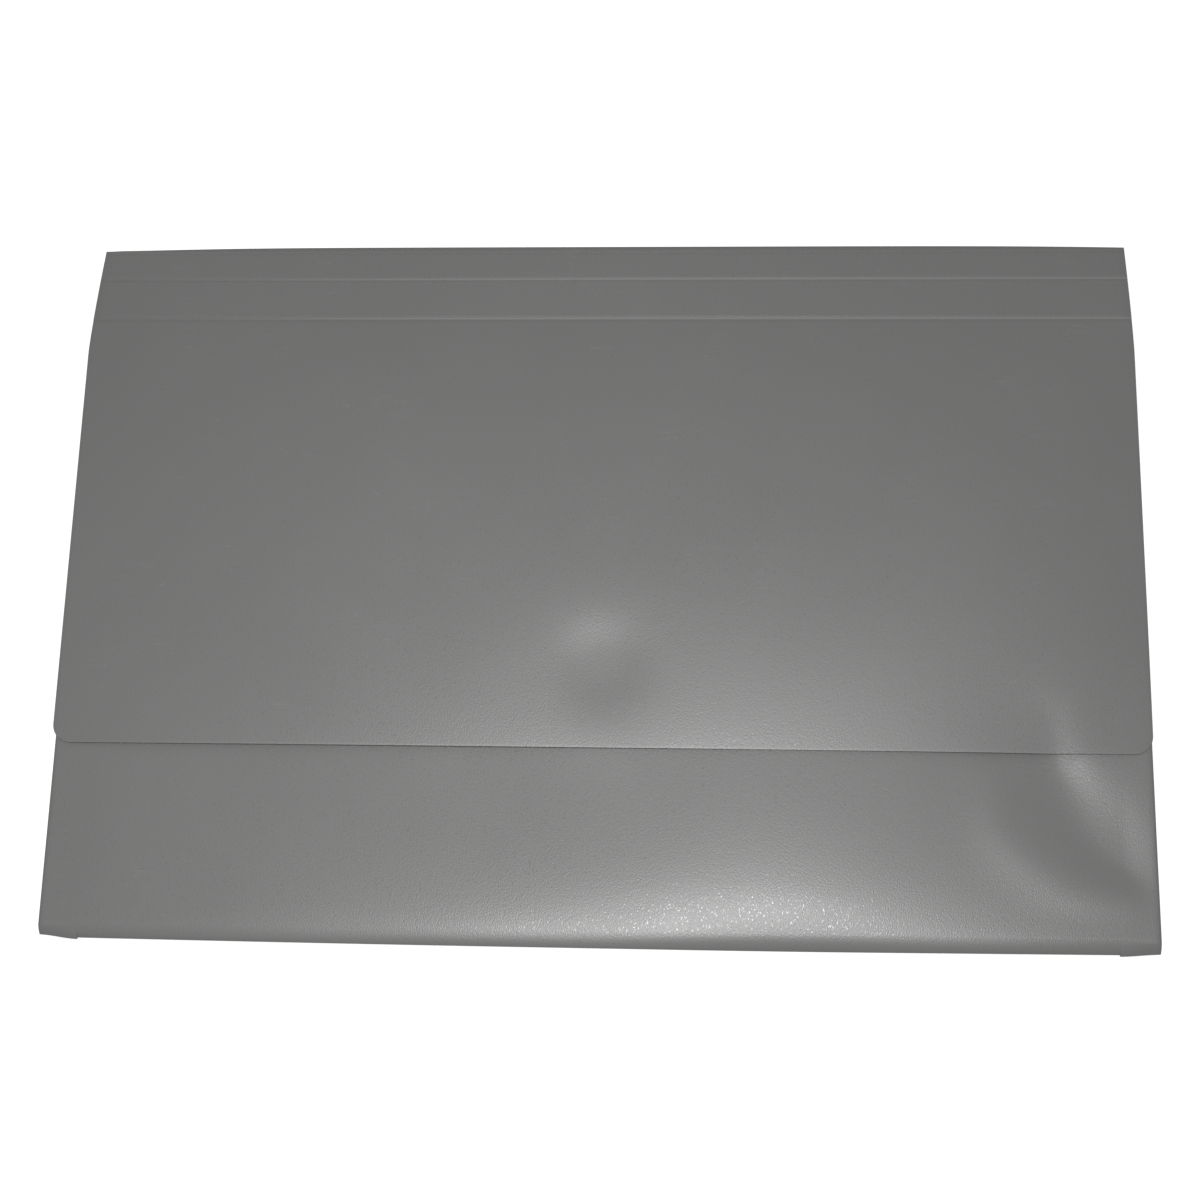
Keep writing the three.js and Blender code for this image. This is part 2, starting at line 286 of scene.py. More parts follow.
def feed(tree, made, inputs):
    """Feeds a node's inputs, by name or number: another node's output is linked, a plain value set."""
    for key, source in inputs.items():
        if isinstance(source, bpy.types.NodeSocket):
            tree.links.new(source, made.inputs[key])
        else:
            made.inputs[key].default_value = source


def node(tree, kind, inputs=None, **settings):
    """A new node with its properties set by name, and then its inputs fed."""
    made = tree.nodes.new(kind)
    for key, value in settings.items():
        setattr(made, key, value)
    feed(tree, made, inputs or {})
    return made


def maths(tree, operation, first, second):
    """A Math node of two outputs or numbers; gives its output."""
    return node(tree, "ShaderNodeMath", {0: first, 1: second}, operation=operation).outputs[0]


def remap(tree, source, from_low, from_high, to_low, to_high):
    """A Map Range node that is held at both ends; gives its output."""
    inputs = {0: source, 1: from_low, 2: from_high, 3: to_low, 4: to_high}
    return node(tree, "ShaderNodeMapRange", inputs).outputs[0]


def noise(tree, vector, scale, detail=2.0, roughness=0.5):
    """A noise texture, with its scale in bumps per metre; gives its output."""
    inputs = {"Vector": vector, "Scale": scale, "Detail": detail, "Roughness": roughness}
    return node(tree, "ShaderNodeTexNoise", inputs).outputs["Fac"]


def mixed(tree, share, first, second):
    """A mix of two colours, by the share of the second; gives its output."""
    return node(tree, "ShaderNodeMixRGB", {"Fac": share, "Color1": first, "Color2": second}).outputs["Color"]


def tinted(colour, factor):
    """A colour made darker or lighter, with an alpha of 1."""
    return (*[channel * factor for channel in colour[:3]], 1)


def dented(tree, height, depth):
    """A normal that a height bends, through a Bump node whose depth is in millimetres; gives its output."""
    inputs = {"Strength": 1.0, "Distance": depth * MM, "Height": height}
    return node(tree, "ShaderNodeBump", inputs).outputs["Normal"]


def new_material(name):
    """A new material; gives it, its tree, its Principled BSDF and its Object coordinates."""
    material = bpy.data.materials.new(name)
    material.use_nodes = True
    tree = material.node_tree
    place = node(tree, "ShaderNodeTexCoord").outputs["Object"]
    return material, tree, tree.nodes["Principled BSDF"], place


# %% [markdown]
# The grain is too fine to model, with nearly three pebbles to a millimetre, so it only bends the light. It
# could be plain noise, but cells round scattered points look more like pebbles: they touch and never
# repeat.

# %% The pebble grain group
PEBBLES = 2700.0  # per metre
PEBBLE_SCALE = (1.0, 0.6, 1.0)  # the rolling draws the pebbles out along Y
PEBBLE_SOFTNESS = 0.35
UNEVEN_SCALE, UNEVEN_SHARE = 2400.0, 0.9
GLINT_SCALE = 1700.0
GLINT_LEVELS = (0.60, 0.72)  # a pebble starts to glint at the first and does so fully at the second


def make_grain_group():
    """Pebble grain: the distance to the nearest of many scattered points gives each pebble its dome, and a
    little noise makes no two alike. Height feeds a Bump node; Glint picks out a few pebbles."""
    group, enter, leave = new_group("pebble_grain", ("Height", "Glint"), [("Pebbles per metre", PEBBLES)])
    drawn = node(group, "ShaderNodeMapping", {"Vector": enter.outputs["Vector"], "Scale": PEBBLE_SCALE})
    place = drawn.outputs["Vector"]
    inputs = {"Vector": place, "Scale": enter.outputs["Pebbles per metre"], "Smoothness": PEBBLE_SOFTNESS}
    cells = node(group, "ShaderNodeTexVoronoi", inputs, feature="SMOOTH_F1")
    uneven = noise(group, place, UNEVEN_SCALE, detail=3.0, roughness=0.6)
    dome = maths(group, "SUBTRACT", 1.0, cells.outputs["Distance"])
    height = maths(group, "ADD", dome, maths(group, "MULTIPLY", uneven, UNEVEN_SHARE))
    glint = remap(group, noise(group, place, GLINT_SCALE, detail=1.0), *GLINT_LEVELS, 0, 1)
    feed(group, leave, {"Height": height, "Glint": glint})
    return group


GRAIN = make_grain_group()

# %% [markdown]
# Handling leaves cloudy patches, a little shinier or duller, and fine scuffs. The group gives both as masks.

# %% The handling group
CLOUD_SCALE = 14.0
SCUFF_WAYS = ((0.5, 42.0), (2.1, 55.0))  # for each set of scuffs, its turn in radians and its scale
SCUFF_STRETCH = 9.0
SCUFF_WIDTH = 0.006  # in the noise's own height
SCUFFED_SCALE, SCUFFED_LEVELS = 60.0, (0.56, 0.68)  # scuffs show where this noise is above these levels


def make_handling_group():
    """Clouds: broad noise. Scuffs: thin lines where two stretched noises pass through one level."""
    group, enter, leave = new_group("handling", ("Clouds", "Scuffs"))
    place = enter.outputs["Vector"]
    clouds = noise(group, place, CLOUD_SCALE, detail=3.0, roughness=0.55)
    scuffs = 0.0
    for turn, scale in SCUFF_WAYS:
        inputs = {"Vector": place, "Rotation": (0, 0, turn), "Scale": (1.0, SCUFF_STRETCH, 1.0)}
        field = noise(group, node(group, "ShaderNodeMapping", inputs).outputs["Vector"], scale)
        near = maths(group, "ABSOLUTE", maths(group, "SUBTRACT", field, 0.5), 0.0)
        scuffs = maths(group, "MAXIMUM", scuffs, remap(group, near, 0.0, SCUFF_WIDTH, 1.0, 0.0))
    sparse = remap(group, noise(group, place, SCUFFED_SCALE), *SCUFFED_LEVELS, 0, 1)
    feed(group, leave, {"Clouds": clouds, "Scuffs": maths(group, "MULTIPLY", scuffs, sparse)})
    return group


HANDLING = make_handling_group()

# %% [markdown]
# A few scratches have a place of their own, each a line between two points. The distance from it comes from
# vector arithmetic: the point is dropped onto the line, and the foot is held between the two ends.

# %% The scratch group
SCRATCHES = (  # from x, y to x, y and the half width, in millimetres from the middle of the wallet
    ((-15.6, -37.2), (-15.6, -51.6), 0.16),
    ((-20.2, -50.4), (-18.1, -53.0), 0.14),
    ((0.3, -111.2), (4.2, -116.3), 0.15),
    ((69.0, -111.0), (70.2, -113.2), 0.16),
)


def make_scratch_group():
    """Marks: the greatest of one less distance over width for every scratch, never less than nought."""
    group, enter, leave = new_group("scratches", ("Marks",))

    def vectors(operation, inputs):
        """A Vector Math node."""
        return node(group, "ShaderNodeVectorMath", inputs, operation=operation)

    marks = 0.0
    for (x0, y0), (x1, y1), half_width in SCRATCHES:
        way = Vector((x1 - x0, y1 - y0, 0))
        inputs = {0: enter.outputs["Vector"], 1: (1 / MM, 1 / MM, 0), 2: (-x0, -y0, 0)}
        start = vectors("MULTIPLY_ADD", inputs).outputs[0]
        along = vectors("DOT_PRODUCT", {0: start, 1: way / way.length_squared}).outputs["Value"]
        foot = vectors("SCALE", {0: way, "Scale": remap(group, along, 0, 1, 0, 1)}).outputs[0]
        apart = vectors("DISTANCE", {0: start, 1: foot}).outputs["Value"]
        marks = maths(group, "MAXIMUM", remap(group, apart, 0, half_width, 1, 0), marks)
    feed(group, leave, {"Marks": marks})
    return group


MARKS = make_scratch_group()

# %% [markdown]
# What varies over the surface, the colour, the roughness and the normal, comes from the groups. The creases
# use the same recipe with a shallower grain, because the creasing rule presses it flat, and a cut edge has
# hardly any; the cut edge is also painted paler, a painted highlight. Where a rule bites hardest, the plastic
# turns paler, and along the flap's lower edge a painted highlight is mixed in the same way: each vertex
# stores its paleness, and that value mixes the paler colour in.

# %% The sheet's materials
SHEET_COLOUR = (0.170, 0.170, 0.168)
REFRACTION = 1.52  # of polypropylene
CLOUD_TINTS = (0.965, 1.04)  # of its darkest and its lightest patches
CLOUD_LEVELS = (0.3, 0.7)  # of the noise, where they are shiniest and dullest
CLOUD_ROUGHNESS = 0.025  # and how far that is from the middle roughness
PALE_AND_HIGHLIGHT_TINT = 1.5
SCUFF_STRENGTH, SCRATCH_STRENGTH = 0.35, 0.4


def placed_group(tree, group, vector):
    """A group node whose pattern lies at a vector; gives its outputs."""
    return node(tree, "ShaderNodeGroup", {"Vector": vector}, node_tree=group).outputs


def make_plastic(name, colour, roughness, grain_depth, glint=0.12):
    """Embossed polypropylene: colour and roughness drift with handling, the grain bends the normal, and a
    pebble that glints is less rough by glint."""
    material, tree, shader, place = new_material(name)
    grain = placed_group(tree, GRAIN, place)
    handling = placed_group(tree, HANDLING, place)
    marks = placed_group(tree, MARKS, place)["Marks"]
    paleness_and_highlight = node(tree, "ShaderNodeAttribute", attribute_name="paleness_and_highlight").outputs["Fac"]
    worn = maths(tree, "MULTIPLY", handling["Scuffs"], SCUFF_STRENGTH)
    worn = maths(tree, "MAXIMUM", worn, maths(tree, "MULTIPLY", marks, SCRATCH_STRENGTH))
    tint = mixed(tree, handling["Clouds"], *[tinted(colour, factor) for factor in CLOUD_TINTS])
    # Scuffs, scratches and score whitening are real paleness; along the flap's lower edge this paler tint is
    # a painted highlight.
    tint = mixed(tree, maths(tree, "MAXIMUM", worn, paleness_and_highlight), tint, tinted(colour, PALE_AND_HIGHLIGHT_TINT))
    ends = (roughness - CLOUD_ROUGHNESS, roughness + CLOUD_ROUGHNESS)
    rough = remap(tree, handling["Clouds"], *CLOUD_LEVELS, *ends)
    rough = maths(tree, "SUBTRACT", rough, maths(tree, "MULTIPLY", grain["Glint"], glint))
    feed(tree, shader, {"Metallic": 0, "IOR": REFRACTION, "Base Color": tint, "Roughness": rough,
                        "Normal": dented(tree, grain["Height"], grain_depth)})
    return material


PLASTIC = make_plastic("embossed_sheet", SHEET_COLOUR, 0.375, 0.024, glint=0.115)
CREASED = make_plastic("creased_sheet", SHEET_COLOUR, 0.36, 0.018)
# The cut edge is painted paler than the sheet, a painted highlight for the light it catches.
CUT_EDGE_HIGHLIGHT = make_plastic("cut_edge_painted_highlight", tinted(SHEET_COLOUR, 1.25), 0.5, 0.005)

# %% [markdown]
# Hook tape and loop tape are nylon. The loops are a soft tangle and the hooks stand in rows, so the two get
# different patterns on the same dark fibre. The adhesive below them is a pale film.

# %% The fastener's materials
TAPE_TINTS = (0.5, 1.8)  # of its darkest and its lightest fibres
TAPE_DEPTH = 0.3  # of its pattern, in millimetres
HOOK_ROWS = (190.0, 150.0)  # the scale of the rows across the wallet and along it
LOOP_TANGLE = 2600.0
FILM_SCALE = 300.0
FILM_COLOURS = ((0.60, 0.58, 0.52, 1), (0.72, 0.70, 0.65, 1))


def make_tape(name, colour, rows):
    """Nylon tape: hooks stand in rows, a product of two waves; loops are a tangle of noise."""
    material, tree, shader, place = new_material(name)
    if rows:
        waves = [node(tree, "ShaderNodeTexWave", {"Vector": place, "Scale": scale}, bands_direction=way)
                 for way, scale in zip("XY", HOOK_ROWS)]
        pattern = maths(tree, "MULTIPLY", *[wave.outputs["Fac"] for wave in waves])
    else:
        pattern = noise(tree, place, LOOP_TANGLE, detail=4.0, roughness=0.7)
    fibres = mixed(tree, pattern, *[tinted(colour, factor) for factor in TAPE_TINTS])
    feed(tree, shader, {"Roughness": 0.8, "Sheen Weight": 0.2, "Base Color": fibres,
                        "Normal": dented(tree, pattern, TAPE_DEPTH)})
    return material


def make_adhesive():
    """A pale film, a little uneven in colour by noise."""
    material, tree, shader, place = new_material("adhesive_film")
    film = mixed(tree, noise(tree, place, FILM_SCALE, detail=3.0), *FILM_COLOURS)
    feed(tree, shader, {"Roughness": 0.45, "Base Color": film})
    return material


HOOKS = make_tape("hook_tape", (0.045, 0.045, 0.048), rows=True)
LOOPS = make_tape("loop_tape", (0.060, 0.060, 0.064), rows=False)
ADHESIVE = make_adhesive()

# %% [markdown]
# ## The shape of the pocket and the flap
#
# An empty wallet isn't flat. Its front panel swells like a pillow and turns down softly into the bottom
# fold, and the flap lies over it with some air between, but for the place where the fastener draws it down.
# One function gives the swell, one the lift, and one pulls both to the flat seats of the two coins. At the
# lower right, the sheet has been bent, which leaves a shallow curved valley with a low ridge on its inner
# side.

# %% The shape functions
BULGE_X, BULGE_WIDTH = 64.0, 50.0  # the front panel bulges about here
# In each pair below, the first value is for far from the bulge and the second for its middle.
CURL_SLOPES = (0.095, 0.165)  # how steeply the front panel meets its bottom fold
CURL_LENGTHS = (2.8, 5.5)  # over how much length it turns down
CURL_RISES = (0.28, 1.10)  # how high it stands above its rim after that
SHOULDERS, SHOULDER_WIDTH = (0.0, 0.47), 9.5  # how much lower a round shoulder lies
PRESSES = (1.6, 0.75)  # the flap's edge presses the front panel down by this much
PRESS_STARTS = (4.0, 20.0)  # how far above the bottom fold this begins
PRESS_LENGTHS = (56.0, 50.0)  # and over what length it grows
SIDE_BEYOND, SIDE_FADE, LOW_FADE = 4.0, 14.0, 12.0  # the valley fades out near the sides and the bottom fold
FLAP_CROWN = 3.6  # the flap rises this much above its crease
EDGE_CROWN = 1.35  # what is left of it at the flap's lower edge
EDGE_CURL, EDGE_CURL_LENGTH = 0.12, 6.0  # and there it turns down a little more
SEAT_DROP = 1.0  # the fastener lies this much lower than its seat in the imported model
APEX = 135.0  # the flap is highest this far from the wallet's lower edge
VALLEY = ((145.3, 54.5), (173.5, 19.7))  # the line of the bent sheet's valley, across and up the wallet
VALLEY_SLOPE = 0.125  # its depth over the width of its inner side
INNER_WIDTHS = (12.5, 5.5)  # of that side, at its head and its tail
OUTER_WIDTHS = (8.0, 22.0)  # its outer side widens, and so fades
VALLEY_BEND = 0.0095  # by how much of the square of the distance along it, it leaves the straight line
BEND_MIDDLE, BEND_SHIFT = 21.0, -1.3  # from here along it, where it is this far off the line
BEND_REACH = (15.0, 10.0)  # it bends no more this far beyond its head and its tail
HEAD_FADE, TAIL_FADE = (35.0, 40.0), (14.0, 26.0)  # how far beyond each end it is gone, and over what length
RIDGES_AWAY = (25.0, 12.5)  # how far the ridge runs from the valley, at its head and its tail
RIDGE_WIDTH, RIDGE_HEIGHT = 9.0, 0.46
SLUMP = (132.0, 74.0)  # the sheet lies lower here, beside the valley
SLUMP_WIDTH, SLUMP_DEPTH = 24.0, 0.9
FLAP_FOLLOWS = 0.5  # the share of the valley that shows in the flap above it
FLAP_RESTS = 0.38  # the flap's edge comes this much nearer to the pocket on the right
REST_FROM, REST_LENGTH = 0.0, 110.0  # from here across the wallet, over this length
REST_REACH = 25.0  # and this far up the flap
HOLLOW_WIDTH = 13.5  # of the hollow round the fastener
HOLLOW_HEIGHTS = (15.0, 12.5)  # below and above its middle
HOLLOW_POWER = 2.5  # the higher, the flatter is its floor
HOLLOW_REACH = 26.0  # how far it still draws the sheet down
HOLLOW_SHARE = 0.40  # how much of its depth is in that wide part
HALF_HEIGHT = HEIGHT / 2
CHECK_POINTS = 200  # each way, to measure the shapes below


def pillow(x):
    """The swell across the wallet: one less the cube of the distance from its middle."""
    return np.clip(1 - np.power(np.abs(x) / SIDE_X, 3), 0, 1)


def bulged(x, values):
    """Goes from the first value to the second by a bell across the wallet, where the panel bulges."""
    return values[0] + (values[1] - values[0]) * bump((x - BULGE_X) / BULGE_WIDTH)


def swell(x, y):
    """The front panel above its rim: a rise less a falling exponential, which turns down into the bottom
    fold, less half a bell for the shoulder and an eased step where the flap presses."""
    up = np.maximum(y - ROLL_INNER_Y, 0)
    t = up / (FLAP_CREASE_Y - ROLL_INNER_Y)
    length = bulged(x, CURL_LENGTHS)
    turn = bulged(x, CURL_RISES) - bulged(x, CURL_SLOPES) * length * np.exp(-up / length)
    turn = turn - bulged(x, SHOULDERS) * bump(up / SHOULDER_WIDTH)
    press = bulged(x, PRESSES) * ease((up - bulged(x, PRESS_STARTS)) / bulged(x, PRESS_LENGTHS))
    return (turn - press) * pillow(x) * np.clip(1 - t * t, 0, 1)


def flap_crown(y):
    """The flap's height along the middle of the wallet: two parabolas that meet at its highest line."""
    apex = APEX - HALF_HEIGHT
    below = FLAP_CROWN - (FLAP_CROWN - EDGE_CROWN) * np.square((apex - y) / (apex - FLAP_LOW_Y))
    below = below - EDGE_CURL * np.exp((FLAP_LOW_Y - y) / EDGE_CURL_LENGTH)
    above = FLAP_CROWN * (1 - np.square((y - apex) / (FLAP_CREASE_Y - apex)))
    return np.where(y < apex, below, above)


def hollow(x, y):
    """1 over the middle of the fastener: a narrow bell with a flatter floor, and a wide bell about it."""
    dx, dy = x - COIN[0], y - COIN[1]
    away = np.hypot(dx / HOLLOW_WIDTH, dy / np.where(dy < 0, *HOLLOW_HEIGHTS))
    narrow = np.exp(-np.power(away, HOLLOW_POWER))
    return (1 - HOLLOW_SHARE) * narrow + HOLLOW_SHARE * bump(np.hypot(dx, dy) / HOLLOW_REACH)


def valley(x, y):
    """A dent along a curve with a ridge on its inner side: bells across the curve, faded in and out along
    it. The curve leaves a straight line by the square of the distance along it. Beside its head, a round
    bell lets the sheet sink."""
    (x0, y0), (x1, y1) = VALLEY
    length = math.hypot(x1 - x0, y1 - y0)
    ux, uy = (x1 - x0) / length, (y1 - y0) / length
    dx, dy = x - x0, y - (y0 - HALF_HEIGHT)
    across = dy * ux - dx * uy  # grows towards the upper right
    along = dx * ux + dy * uy
    bent = np.clip(along, -BEND_REACH[0], length + BEND_REACH[1]) - BEND_MIDDLE
    across = across - BEND_SHIFT - VALLEY_BEND * np.square(bent)
    inner, outer, away = [np.interp(along, (0, length), w) for w in (INNER_WIDTHS, OUTER_WIDTHS, RIDGES_AWAY)]
    dent = VALLEY_SLOPE * inner * bump(across / np.where(across > 0, outer, inner))
    ridge = RIDGE_HEIGHT * bump((across + away) / RIDGE_WIDTH)
    slump = SLUMP_DEPTH * bump(np.hypot(x - SLUMP[0], y - (SLUMP[1] - HALF_HEIGHT)) / SLUMP_WIDTH)
    fade_in = ease((along + HEAD_FADE[0]) / HEAD_FADE[1])
    fade_out = ease((length + TAIL_FADE[0] - along) / TAIL_FADE[1])
    return fade_in * fade_out * (ridge - dent) - slump


def front_free(x, y):
    """Height of the middle of the front panel's sheet without the pull of the fastener."""
    rim = ease((SIDE_X + SIDE_BEYOND - np.abs(x)) / SIDE_FADE) * ease((y - ROLL_INNER_Y) / LOW_FADE)
    return PANEL_MIDDLE_Z + swell(x, y) + valley(x, y) * rim


def flap_free(x, y):
    """Height of the middle of the flap's sheet without the pull of the fastener: the crown, which falls to
    the sides by the cube of the distance, and a share of the valley, less where the flap comes to rest."""
    across = np.clip(1 - np.power(np.abs(x) / FLAP_HALF, 3), 0, 1)
    rim = ease((FLAP_HALF - np.abs(x)) / SIDE_FADE)
    rest = FLAP_RESTS * ease((x - REST_FROM) / REST_LENGTH) * bump((y - FLAP_LOW_Y) / REST_REACH)
    return SPINE_MIDDLE_Z + flap_crown(y) * across + FLAP_FOLLOWS * valley(x, y) * rim - rest


def front_middle(x, y):
    """Height of the middle of the front panel's sheet, which meets the seat of the loop coin."""
    sink = float(front_free(COIN[0], COIN[1])) - (LOOP_SEAT_Z - SEAT_DROP - SHEET / 2)
    return front_free(x, y) - sink * hollow(x, y)


def flap_middle(x, y):
    """Height of the middle of the flap's sheet, which meets the seat of the hook coin."""
    sink = float(flap_free(COIN[0], COIN[1])) - (HOOK_SEAT_Z - SEAT_DROP + SHEET / 2)
    return flap_free(x, y) - sink * hollow(x, y)


X, Y = np.meshgrid(np.linspace(-FLAP_HALF, FLAP_HALF, CHECK_POINTS),
                   np.linspace(FLAP_LOW_Y, FLAP_CREASE_Y, CHECK_POINTS))
flap_z, front_z = flap_middle(X, Y), front_middle(X, np.minimum(Y, MOUTH_Y))
air = (flap_z - front_z - SHEET)[Y < MOUTH_Y]
drawn_down = float(flap_free(*COIN[:2]) - flap_middle(*COIN[:2]))
print("least air between flap and pocket:", round(float(air.min()), 2))
print("depth of the hollow:", round(drawn_down, 2))
print("lowest point of the front panel's sheet:", round(float(front_z.min()), 2))

# %% [markdown]
# ## The front of the pocket
#
# The front panel, its rolled bottom edge and its two folded sides are one piece of sheet, so they are one
# surface here. Think of the sheet laid flat: s runs across it and t up it. Past the side fold, s runs on
# round a half circle. Below the bottom fold, t runs on round two parts of ovals, which start at the slope
# that the panel has there, so that the shine doesn't break. The roll stops short of the sides: two short
# slits leave free corners, which only bend down a little way.

# %% Model the front of the pocket
POCKET_SHIFT = 0.25  # the pocket lies this much to the right under the flap
BOTTOM_BOW = 0.7  # the bottom fold draws in by this much at its ends
ROLL_START = math.radians(27)  # where on its oval the roll starts: the further on, the flatter it is
END_SLOPE = 0.18  # of the roll where it starts, near its ends
ROLL_POWER = 1.8  # the higher, the more slowly the roll starts to turn
ROLL_ROWS = 41
FLOOR_AIR = 0.05  # the roll stays at least this far above the table
CORNER_TURN = math.radians(74)  # how far the free corners bend down beside the roll
CORNER_DROP = 2.2  # how far their outer ends bend down
CORNER_SHORT = (1.35, 0.85)  # and how far those draw in, on the left and on the right
CORNER_LONG = 0.6  # beside the slit they reach this much further than they would on the roll's line
HEM_STEP, CORNER_STEP, PLAIN_STEP = 0.25, 1.2, 1.5  # between columns: in a side fold, a corner, elsewhere
FINE_LENGTH, FINE_STEP = 16.0, 0.8  # the rows are closer together this far above the roll


def fold_round(distance, radius):
    """Where a sheet is after a distance round a half circle: out and down, both nought at its start."""
    angle = np.clip(distance / radius, 0, math.pi)
    return radius * np.sin(angle), radius * (1 - np.cos(angle))


def roll_reach(x):
    """How far the middle of the sheet gets out beyond the line where the roll starts."""
    return ROLL_INNER_Y - ROLL_OUTER_Y - SHEET / 2 - BOTTOM_BOW * np.square(x / ROLL_HALF)


def bottom_roll(x, start_z, share, last_turn):
    """A point of the roll. Above, it is a part of a long oval that has the panel's slope where it starts;
    below its tip, a quarter of a second oval that comes back under the panel. The tangent turns from that
    slope, at share 0, to last_turn at share 1, slowly at first. Gives Y and Z."""
    reach = roll_reach(x)
    slope = bulged(x, CURL_SLOPES) * pillow(x) + END_SLOPE * (1 - pillow(x))
    long_half = reach / (1 - math.sin(ROLL_START))
    short_half = slope * long_half / math.tan(ROLL_START)
    tip_z = start_z - short_half * math.cos(ROLL_START)
    depth = tip_z - SHEET / 2
    tangent = np.arctan(slope)
    tangent = tangent + (last_turn - tangent) * np.power(share, ROLL_POWER)
    turn = np.arctan2(long_half * np.sin(tangent), short_half * np.cos(tangent))
    turn_below = np.arctan2(reach * np.sin(tangent), depth * np.cos(tangent))
    above = tangent < math.pi / 2
    out = np.where(above, long_half * (np.sin(turn) - math.sin(ROLL_START)), reach * np.sin(turn_below))
    up = np.where(above, short_half * np.cos(turn), depth * np.cos(turn_below))
    return ROLL_INNER_Y - out, tip_z + up


def free_corner(x, start_z, share):
    """A point of the sheet beside the roll. At the slit it follows the roll, but less far round; from there
    it eases over into a corner that goes straight out, and down by the square of the way out."""
    y_roll, z_roll = bottom_roll(x, start_z, share, CORNER_TURN)
    along = (ROLL_INNER_Y - y_roll) / roll_reach(x)
    y_roll = y_roll - CORNER_LONG * np.square(along)
    reach = ROLL_INNER_Y - ROLL_OUTER_Y - SHEET / 2 - np.where(x < 0, *CORNER_SHORT)
    beyond = ease((np.abs(x) - ROLL_HALF) / (POCKET_HALF - ROLL_HALF))
    y_free, z_free = ROLL_INNER_Y - reach * along, start_z - CORNER_DROP * np.square(along)
    return y_roll + (y_free - y_roll) * beyond, z_roll + (z_free - z_roll) * beyond


def front_surface():
    """The points of the whole front sheet, and which faces between them stay: none across a slit, and below
    the bottom fold none of a side fold's lower half."""
    hem = math.pi * FOLD_RADIUS
    half_plain = spaced(ROLL_HALF, 0, PLAIN_STEP)
    outer = joined(-spaced(SIDE_X + hem, SIDE_X, HEM_STEP), -spaced(SIDE_X, ROLL_HALF, CORNER_STEP))
    s = np.concatenate([outer, joined(-half_plain, half_plain[::-1]), -outer[::-1]])
    share = 1 - np.linspace(0, 1, ROLL_ROWS)[:-1]
    fine_end = ROLL_INNER_Y + FINE_LENGTH
    t_flat = joined(spaced(ROLL_INNER_Y, fine_end, FINE_STEP), spaced(fine_end, MOUTH_Y, PLAIN_STEP))
    t = np.concatenate([np.full(len(share), ROLL_INNER_Y), t_flat])
    rolled = np.concatenate([share, np.zeros(len(t_flat))])[:, None] + np.zeros((1, len(s)))
    S, T = np.meshgrid(s, t)
    out, down = fold_round(np.abs(S) - SIDE_X, FOLD_RADIUS)
    x = np.sign(S) * (np.minimum(np.abs(S), SIDE_X) + out)
    column = np.arange(len(s))
    corner = ((column < len(outer)) | (column >= len(s) - len(outer)))[None, :]
    z = front_middle(x, T)
    y_roll, z_roll = bottom_roll(x, z, rolled, math.pi)
    y_corner, z_corner = free_corner(x, z, rolled)
    y = np.where(rolled > 0, np.where(corner, y_corner, y_roll), T)
    z = np.where(rolled > 0, np.where(corner, z_corner, z_roll), z) - down
    x = x + POCKET_SHIFT
    keep = np.ones((len(t) - 1, len(s) - 1), bool)
    keep[:len(share), [len(outer) - 1, len(s) - len(outer) - 1]] = False
    hem_columns = int(np.count_nonzero(s > SIDE_X + hem / 2))
    keep[:len(share), :hem_columns] = keep[:len(share), len(s) - 1 - hem_columns:] = False
    z = np.where((rolled > 0) & ~corner, np.maximum(z, SHEET / 2 + FLOOR_AIR), z)
    return np.stack([x, y, z], -1), keep


points, keep = front_surface()
front = add_sheet("pocket_front", points, PLASTIC, keep=keep, rim=0)
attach(front, "front")
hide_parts("front_panel", "bottom_fold", "front_left_fold", "front_right_fold")

# %% [markdown]
# ## The flap
#
# The flap runs from the lower score to its free edge. Its rows of points shorten towards the edge, by the
# height of a quarter circle, which rounds its two corners without a cut. Towards the top fold, the whole
# sheet narrows, more on its left than on its right.

# %% Model the flap
CORNER_RADIUS = 6.0
LEAN_FROM, LEAN_LENGTH = 200.0, 40.0  # where the sheet starts to narrow, and over what length
LEAN_LEFT, LEAN_RIGHT = 3.3, 2.0  # by how much on each side
LEAN_POWER = 1.3
FLAP_SHARE = 1 - 0.0002  # of its width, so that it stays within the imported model's box
FLAP_COLUMNS, FLAP_STEP, CORNER_ROWS = 261, 1.4, 13
# The flap's lower edge gets a painted highlight: a paler line along it, brightest near the middle of the
# wallet.
EDGE_HIGHLIGHT, EDGE_HIGHLIGHT_REACH = 0.9, 0.45  # how pale the flap's lower edge is, and how far up
EDGE_HIGHLIGHT_X, EDGE_HIGHLIGHT_WIDTH = 10.0, 120.0  # it is palest here across the wallet, and fades over this width


def sheet_x(share, y, half):
    """Place across the sheet at a height y, from a share between -1 and 1. The half width is whole, then
    narrower by a power of the distance from where the narrowing starts."""
    lean = np.power(np.clip((y + HALF_HEIGHT - LEAN_FROM) / LEAN_LENGTH, 0, 1), LEAN_POWER)
    return share * (half - np.where(share < 0, LEAN_LEFT, LEAN_RIGHT) * lean)


def flap_surface():
    """The points of the flap. Its rows lie closer together towards the free edge, where they shorten."""
    corner_y = FLAP_LOW_Y + CORNER_RADIUS
    corner = corner_y - CORNER_RADIUS * np.cos(np.linspace(0, math.pi / 2, CORNER_ROWS))
    y = joined(corner, spaced(corner_y, FLAP_CREASE_Y - HALF_CREASE, FLAP_STEP))
    share, Y = np.meshgrid(np.linspace(-1, 1, FLAP_COLUMNS), y)
    inside = np.clip(corner_y - Y, 0, CORNER_RADIUS)
    cut = CORNER_RADIUS - np.sqrt(np.square(CORNER_RADIUS) - np.square(inside))
    x = sheet_x(share, Y, FLAP_HALF - cut)
    return np.stack([x * FLAP_SHARE, Y, flap_middle(x, Y)], -1)


